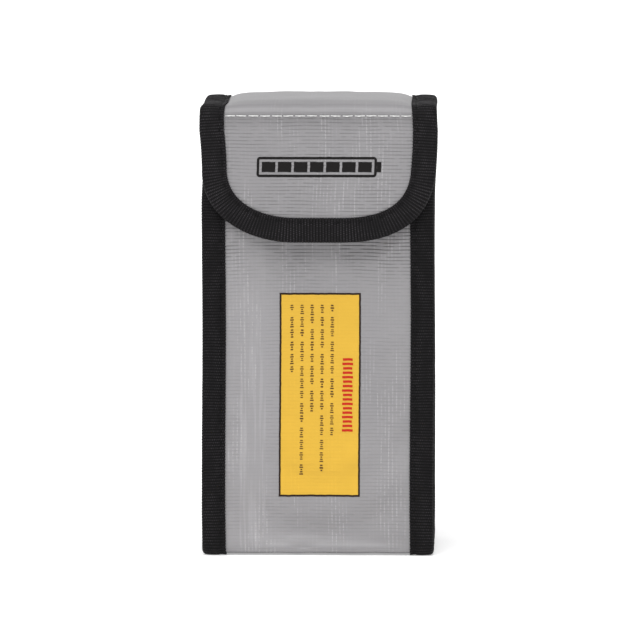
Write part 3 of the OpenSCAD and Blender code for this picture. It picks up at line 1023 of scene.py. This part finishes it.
def coated_cloth():
    """Silver coated cloth. It is smooth over the top and at the foot, and darker on the flap. Painted shade
    darkens it along the crease, beside the streaks on the left of the front, under the bag and in the weave's
    gaps, most of all just below the flap, where it stands for the flap's shadow; the streaks are painted
    highlights."""
    material = Material("coated_cloth")
    gap, threads = weave(material)
    x, s = material.x, material.s
    bottom, top, back = band.end["front"], band.begin["top"], band.begin["back"]
    on_front = s.ramp(bottom, bottom + 2, 1.0, 0.0)
    foot = s.ramp(s_front(9), s_front(3), 0.0, 0.8) * on_front
    on_top = s.ramp(s_back(TOP_Z - 5), top, 0.0, 0.8)
    on_top = on_top * s.ramp(s_flap(TOP_Z - 1.5), s_flap(TOP_Z - 4), 1.0, 0.0)
    # Below the flap the weave's gaps are deeper, and darker with the flap's painted shadow.
    near_flap = s.ramp(s_front(FLAP_END_Z), s_front(FLAP_END_Z - 16), 1.45, 0.4)
    rear = s.ramp(bottom, s_back(10), 0.0, 0.9)
    streaky = x.math("COMPARE", STREAK_X, STREAK_W) * s.ramp(s_front(80), s_front(40), 0.3, 1.0) * on_front
    # Painted highlights: pale uneven streaks down the left of the front, where the glossy coating's small
    # waves catch the light.
    painted_streak_highlight = streaky * material.noise(x / 0.9, s / 26, 2.0, 12.0).ramp(0.45, 0.62)
    plain = foot.math("MAXIMUM", on_top).math("MAXIMUM", 0.6 * streaky)
    gap = gap * near_flap.math("MAXIMUM", rear) * (1.0 - plain)
    threads = threads * (1.0 - on_top)

    flap_tone = s.ramp(S_SPLIT_TOP, s_flap(TOP_Z - FOLD_R), 0.0, -0.08)
    foot_tone = s.ramp(s_front(34), s_front(6), 0.0, -0.04)
    # Painted shade: the front is darker to the right of the streaks on its left.
    painted_right_shade = x.ramp(STREAK_X, STREAK_X + 12, 0.0, -0.085) * on_front
    # Painted shade along the crease: a darker band down to the white crease stitches, fading out below them.
    painted_crease_shade = s.ramp(s_flap(TOP_Z - 0.5), s_flap(CREASE_STITCH_Z + 0.5), 0.0, -0.14)
    crease_end = s.ramp(s_flap(CREASE_STITCH_Z - 0.8), s_flap(CREASE_STITCH_Z - 4.5), 1.0, 0.0)
    # Painted shade under the bag, from the turn at the foot of the front round to the back.
    painted_under_shade = s.ramp(bottom + 2.6, bottom + 4, 0.0, -0.5) * s.ramp(back - 3.6, back - 2, 1.0, 0.0)
    tone = 1.0 + 0.2 * cloud(material, 22, 6.0) + flap_tone + foot_tone + painted_right_shade + painted_under_shade
    # The gaps' darkening is painted shade, and the streaks are painted highlights.
    tone = tone + painted_crease_shade * crease_end + 0.12 * painted_streak_highlight - 0.34 * gap + 0.26 * threads
    return material.finish(SILVER, tone, 0.06 * threads - 0.1 * gap, 0.46 + 0.2 * gap, strength=0.8)


def lining_cloth():
    material = Material("lining_cloth")
    gap, threads = weave(material)
    # Painted shade darkens the weave's gaps.
    tone = 1.0 - 0.45 * gap + 0.1 * threads
    return material.finish(LINING_GREY, tone, 0.07 * threads - 0.14 * gap, 0.85)


def binding_tape():
    """Ribbed tape: each rib is a row of fine beads, staggered from rib to rib. Painted highlights lighten the
    rib crests and their beads, over painted shade in the grooves between ribs. It is paler on the flap.
    """
    material = Material("binding_tape")
    across, rib = material.x, material.s
    rib_number = (rib + 0.5).math("FLOOR")
    bead_run = across / BEAD_PITCH + 0.5 * rib_number
    bead = (2 * math.pi * bead_run).math("COSINE")
    # Patches where the beads are worn fuzzier. Their lightening of the dots is painted highlight.
    worn = material.noise(across / 3, rib / 9, 2.0, 2.0).ramp(0.35, 0.65, 0.25, 1.0)
    uneven = material.noise(across / 0.5, 1.3 * rib, 2.0, 1.0)
    raised = (2 * math.pi * rib).math("COSINE").ramp(-0.5, 0.9)
    dots = raised * bead.ramp(-0.2, 0.8) * uneven.ramp(0.35, 0.65, 0.3, 1.0) * worn
    flap_start = S_SPLIT_TOP / RIB_PITCH
    # Painted highlights on the rib crests and bead dots, over painted shade in the grooves.
    tone = (0.38 + 0.32 * raised + 3.9 * dots) * rib.ramp(flap_start, flap_start + 4, 1.0, 1.4)
    height = 0.07 * dots + 0.05 * uneven + 0.05 * raised
    return material.finish(TAPE_BLACK, tone, height, 0.6 - 0.2 * dots, 0.08)


def thread(name, colour, roughness):
    """Twisted thread: x counts the sides of the stitch, and s its rings."""
    material = Material(name)
    around, along = material.x, material.s
    twist = (1.05 * around + 2.4 * along).math("SINE")
    fuzz = material.noise(around, along, 2.0, 3.0)
    tone = 0.12 * twist + fuzz.ramp(0.3, 0.7, 0.8, 1.1)
    return material.finish(colour, tone, 0.02 * twist + 0.03 * fuzz, roughness, 0.12)


def ink(name, colour):
    """Screen print: a smooth coat that nearly fills the weave."""
    material = Material(name)
    gap, threads = weave(material)
    # Painted shade darkens the weave's gaps a little.
    tone = 1.0 + 0.1 * cloud(material, 6, 7.0) - 0.035 * gap + 0.02 * threads
    return material.finish(colour, tone, 0.012 * threads - 0.02 * gap, 0.5, 0.15, strength=0.8)


def nylon(name, colour, roughness, shine):
    """Woven nylon of hook and loop, worn to grey in places."""
    material = Material(name)
    x, s = material.x, material.s
    weft = (4 * math.pi * x).math("SINE") * (4 * math.pi * s).math("SINE")
    fuzz = material.noise(1.6 * x, 1.6 * s, 3.0, 4.0)
    tone = fuzz.ramp(0.35, 0.65, 0.5, 1.7)
    return material.finish(colour, tone, 0.05 * weft + 0.1 * fuzz, roughness, shine)


def floor_material():
    material = Material("studio_floor")
    material.set(Base_Color=FLOOR_WHITE, Roughness=0.9, Specular_IOR_Level=0.1, Emission_Color=WHITE,
                 Emission_Strength=0.34)
    return material.data


# ---- Pieces ----

# The folds: their two bodies, and where the bend begins and ends, in metres
FOLD_Y = 0.024
CREASE_BEGIN = (0, -0.0200, 0.1245)
CREASE_END = (0, -0.0245, 0.120)
BACK_FOLD = ("bag", "flap_top", (0, FOLD_Y, FOLD_LOW_Z * MM), (0, FOLD_Y, FOLD_HIGH_Z * MM))
CREASE = ("flap_top", "flap_front", CREASE_BEGIN, CREASE_END)
SIDES = (("left", -1), ("right", 1))


def sheet_piece(name, sheets, material, slot, nodes, rides):
    finish_piece(slabs(name, sheets, material), slot, nodes, rides)


def finish_piece(piece, slot, nodes, rides):
    """Fixes a piece to a body. A piece on a fold between two bodies only has its transform baked. Hides the
    CAD nodes it stands for.
    """
    if nodes:
        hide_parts(*nodes)
    if rides in (BACK_FOLD, CREASE):
        near, far, begin, end = rides
        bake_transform(piece)
        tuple(begin)
        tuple(end)
    else:
        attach(piece, rides)


def panel_pieces(cloth, lining):
    """The band's cloth and its lining, in three lengths each, sewn between the tapes. Where the flap
    hinges they are notched inside the tapes, so that they don't push out of the fold."""
    front = rows_along(TAPE_T, S_UNDER)
    front_half = half_width(front) - TAPE_T
    back = rows_along(S_UNDER, S_SPLIT_TOP)
    at_fold = plateau(back, s_back(FOLD_LOW_Z - 0.4), s_back(FOLD_HIGH_Z) + 1.5, 0.3, 0.3)
    notch = tape_width(back) - TAPE_T - HELD_BY_TAPE
    back_half = half_width(back) - TAPE_T - at_fold * notch
    flap, flap_half = flap_rows(TAPE_T)
    side_tapes = ["left_tape", "right_tape"]
    lengths = (("front", front, front_half, ["front_", "bottom_"], "bag", side_tapes),
               ("back", back, back_half, ["back_", "flap_top_"], BACK_FOLD, side_tapes),
               ("flap", flap, flap_half, ["flap_"], CREASE, ["flap_tape"]))
    layers = ((cloth, "coated_cloth", "_cloth", CLOTH_OUT, CLOTH_IN, "panel"),
              (lining, "lining_cloth", "_inner_cloth", CLOTH_IN, LINING_IN, "lining"))
    for material, slot, word, outer, inner, node in layers:
        for name, s, half, nodes, rides, held_by in lengths:
            across = lines(-1, 1, GRID / HALF_W)
            x, rows = half[:, None] * across, s[:, None] + 0 * across
            sheet = slabs(name + word, [band_sheet(x, rows, outer, inner)], material)
            finish_piece(sheet, slot, [part + node for part in nodes], rides)
            size = (2 * float(half.max()) * MM, float(s[-1] - s[0]) * MM)
            area = float(np.sum(np.diff(s) * (half[1:] + half[:-1]))) * MM ** 2
            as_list(held_by)


def gusset_pieces(cloth, lining):
    half = CLOTH_T / 2
    seam = HALF_W - GUSSET_X - GUSSET_BEND
    hem = seam + GUSSET_BEND * (math.pi / 2 - 1)
    cut = ((depth - 2 * FLANGE_MID + 2 * hem) * MM, (GUSSET_TOP_Z - FLANGE_MID + hem) * MM)
    lining_cut = ((depth - 2 * FLANGE_MID) * MM, (GUSSET_TOP_Z - FLANGE_MID) * MM)
    for name, side in SIDES:
        wall = gusset(name + "_gusset_cloth", side, -1, half, -half, cloth)
        finish_piece(wall, "coated_cloth", [name + "_gusset"], "bag")
        inside = gusset(name + "_gusset_lining", side, 0.5, -half, -half - LINING_T, lining)
        finish_piece(inside, "lining_cloth", [name + "_lining"], "bag")


def binding_pieces(material):
    def bind(name, section, node, rides):
        sheet_piece(name, [section], material, "binding_tape", [node], rides)

    for name, side in SIDES:
        bind(name + "_tape", side_tape(0, S_SPLIT_BACK, side, FIN_T, closed_ends=True),
             name + "_binding", "bag")
        fold = side_tape(S_SPLIT_BACK, S_SPLIT_TOP, side, FLAP_EDGE_T, ring_step=RING_STEP / 2)
        bind(name + "_fold_tape", fold, "flap_top_" + name + "_binding", BACK_FOLD)
        bind(name + "_mouth_tape", mouth_side_tape(side), "mouth_" + name + "_binding", "bag")
    bind("front_mouth_tape", mouth_front_tape(), "mouth_front_binding", "bag")
    bind("flap_tape", flap_tape(), "flap_binding", CREASE)


def sew(name, seams, node, rides, material, slot="binding_thread", **sizes):
    finish_piece(stitches(name, seams, material, **sizes), slot, [node], rides)


def stitch_pieces(black, white):
    for name, side in SIDES:
        sew(name + "_tape_stitches", [side_seam(2, S_SPLIT_BACK - 2, side)], name + "_binding_stitches",
            "bag", black)
    folds = [side_seam(S_SPLIT_BACK + 1, S_SPLIT_TOP - 1, side) for _, side in SIDES]
    sew("fold_tape_stitches", folds, "flap_top_stitches", BACK_FOLD, black)
    sew("flap_tape_stitches", [flap_seam()], "flap_binding_stitches", CREASE, black)
    reach = float(half_width(s_flap(TOP_Z - FOLD_R))) - FLAP_TAPE_W
    x = lines(-reach, reach, SEAM_STEP)
    s = s_flap(CREASE_STITCH_Z) + waves(x, 0 * x, 2.3, 9) * 0.08
    _, inward = directions(s)
    sew("crease_stitches", [(place(x, s, CLOTH_OUT), -inward)], "flap_crease_stitches", CREASE, white,
        slot="crease_thread", length=3.3, radius=0.17)


def label_pieces(yellow, red, dark, brown):
    """A plain label: a field with a border, a heading bar and lines, all of short ticks. No lettering."""
    x0, x1, s0, s1 = strip_box("label_border", s_front)
    wall = box_mm("label_field")[0][0] - x0
    field = print_patch(x0 + wall / 2, x1 - wall / 2, s0 + wall / 2, s1 - wall / 2)
    sheet_piece("label_field_print", [field], yellow, "label_print", ["label_field"], "bag")
    sides = [(x0, x0 + wall, s0, s1), (x1 - wall, x1, s0, s1),
             (x0, x1, s0, s0 + wall), (x0, x1, s1 - wall, s1)]
    border = [print_patch(*side, thickness=2 * PRINT_T) for side in sides]
    sheet_piece("label_border_print", border, dark, "label_dark_print", ["label_border"], "bag")
    marks = (("label_heading_print", "label_heading", red, "label_red_print", HEADING_PITCH, HEADING_GAP),
             ("label_line_print", "label_lines", brown, "label_dark_print", LINE_PITCH, LINE_GAP))
    for name, node, material, slot, pitch, gap in marks:
        patches = []
        for low, high in part_boxes(node):
            count = max(1, round((high[2] - low[2] + gap) / pitch))
            step = (high[2] - low[2] + gap) / count
            for tick in range(count):
                top = high[2] - step * tick
                side = TICK_SIDES[tick % len(TICK_SIDES)]
                patches.append(print_patch(low[0] - side, high[0] + side, s_front(top),
                                           s_front(top - step + gap), under=CLOTH_OUT - PRINT_T))
        sheet_piece(name, patches, material, slot, [node], "bag")


def part_boxes(node):
    """Lowest and highest corners, in mm, of each separate part of a CAD node."""
    edit = bmesh.new()
    edit.from_mesh(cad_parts[node].data)
    bmesh.ops.remove_doubles(edit, verts=edit.verts, dist=WELD)
    left = set(edit.verts)
    boxes = []
    while left:
        found = [left.pop()]
        for vertex in found:
            for edge in vertex.link_edges:
                other = edge.other_vert(vertex)
                if other in left:
                    left.remove(other)
                    found.append(other)
        corners = np.array([v.co for v in found]) / MM
        boxes.append((corners.min(0), corners.max(0)))
    edit.free()
    return sorted(boxes, key=lambda box: (box[0][0], box[0][2]))


def emblem_piece(material):
    """A generic battery sign: a can with a frame, its end cap, and bars."""
    parts = part_boxes("flap_emblem")
    can = max(parts, key=lambda box: box[1][0] - box[0][0])
    low, high = can
    s0, s1 = s_flap(high[2]), s_flap(low[2])
    can_right = high[0] - EMBLEM_CAP
    quarter = (s1 - s0) / 4
    patches = [print_frame(low[0], can_right, s0, s1, EMBLEM_WALL, EMBLEM_CORNER_R),
               print_patch(can_right, high[0], s0 + quarter, s1 - quarter)]
    for low, high in (part for part in parts if part is not can):
        patches.append(print_patch(low[0], high[0], s_flap(high[2]), s_flap(low[2])))
    sheet_piece("flap_emblem_print", patches, material, "emblem_print", ["flap_emblem"], "flap_front")


def closure_pieces(strip, hook_nylon, loop_nylon, black):
    """The loop strip on the front and the hook strip inside the flap, each with its pile and stitches."""
    turn = np.radians(np.linspace(-30, 210, 8))
    loop = stack(0.7 * np.cos(turn), 0.5 + 0.5 * np.sin(turn))
    hook = np.array([[0, -0.1], [0, 0.45], [0.05, 0.75], [0.2, 0.97], [0.42, 0.95], [0.52, 0.7]])
    hook_face = LINING_IN + TAPE_T
    loops = dict(root=0.05, height=-PILE_H, pitch=0.72, shape=loop, radius=0.085, seed=51,
                 material=loop_nylon)
    hooks = dict(root=hook_face, height=PILE_H, pitch=0.95, shape=hook, radius=0.09, seed=52,
                 material=hook_nylon)
    for kind, to_s, near, far, face, outward, body, threads in (
            ("loop", s_front, 0, CLOTH_OUT, 0, -1, "bag", loops),
            ("hook", s_flap, LINING_IN, hook_face, hook_face, 1, "flap_front", hooks)):
        node = kind + "_strip"
        box = strip_box(node, to_s)
        x, s = np.meshgrid(lines(*box[:2], PRINT_GRID), lines(*box[2:], PRINT_GRID))
        sheet_piece(kind + "_base", [band_sheet(x, s, near, far)], strip, node, [node], body)
        finish_piece(pile(kind + "_pile", box, **threads), node, [], body)
        sew(node + "_thread", strip_seam(box, face, outward), node + "_stitches", body, black,
            radius=STRIP_THREAD_R)


front_relief = settled_panel(2 * (HALF_W - TAPE_W), FRONT_HIGH - FRONT_LOW, 0.004, 0.6)
back_relief = settled_panel(2 * (HALF_W - TAPE_W), BACK_HIGH - BACK_LOW, 0.002, -0.4)
silver = coated_cloth()
grey_lining = lining_cloth()
thread_black = thread("binding_thread", THREAD_BLACK, 0.6)

panel_pieces(silver, grey_lining)
gusset_pieces(silver, grey_lining)
binding_pieces(binding_tape())
stitch_pieces(thread_black, thread("crease_thread", THREAD_WHITE, 0.7))
label_pieces(ink("label_print", LABEL_YELLOW), ink("label_red_print", LABEL_RED),
             ink("label_dark_print", LABEL_DARK), ink("label_line_print", LABEL_BROWN))
emblem_piece(ink("emblem_print", EMBLEM_BLACK))
closure_pieces(nylon("nylon_strip", STRIP_BLACK, 0.6, 0.1), nylon("hook_nylon", HOOK_BLACK, 0.35, 0.4),
               nylon("loop_nylon", LOOP_BLACK, 0.8, 0.15), thread_black)


# ---- Studio ----

FLOOR_REACH = 60.0


def studio_floor():
    mesh = bpy.data.meshes.new("studio_floor")
    corners = [(x * FLOOR_REACH, y * FLOOR_REACH, 0) for x, y in ((-1, -1), (1, -1), (1, 1), (-1, 1))]
    mesh.from_pydata(corners, [], [(0, 1, 2, 3)])
    mesh.materials.append(floor_material())
    floor = new_object("studio_floor", mesh)
    floor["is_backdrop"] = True


def aim(thing, direction):
    thing.rotation_euler = direction.to_track_quat("-Z", "Y").to_euler()


KEY_DIRECTION = Vector((0.14, 0.8, -1.15))


def studio_light():
    """A wide soft key light from the front and above, in a white room that is brightest behind the bag."""
    world = bpy.data.worlds.new("studio")
    room = Shading(world)
    direction = room.node("TexCoord", {}).outputs["Generated"]
    _, behind, _ = room.split(direction)
    room.feed(room.nodes["Background"], {"Color": WHITE, "Strength": behind.ramp(0.35, 0.95, 0.38, 1.0)})
    bpy.context.scene.world = world
    light = bpy.data.lights.new("key", "SUN")
    light.energy = 2.85
    light.angle = math.radians(60)
    aim(new_object("key", light), KEY_DIRECTION)


def studio_camera():
    azimuth = math.radians(1.3)
    elevation = math.radians(5.2)
    distance = 2.0
    data = bpy.data.cameras.new("camera")
    data.sensor_width = 36
    data.lens = 404
    camera = new_object("camera", data)
    target = Vector((0.0001, 0, 0.0636))
    level = Vector((math.sin(azimuth), -math.cos(azimuth), 0)) * math.cos(elevation)
    camera.location = target + distance * (level + Vector((0, 0, math.sin(elevation))))
    aim(camera, target - camera.location)
    bpy.context.scene.camera = camera


studio_floor()
studio_light()
studio_camera()
bpy.context.scene.view_settings.view_transform = "Standard"

boxes = {"cad": CAD_BOX, "visual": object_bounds()}
{key: [list(corner) for corner in box] for key, box in boxes.items()}
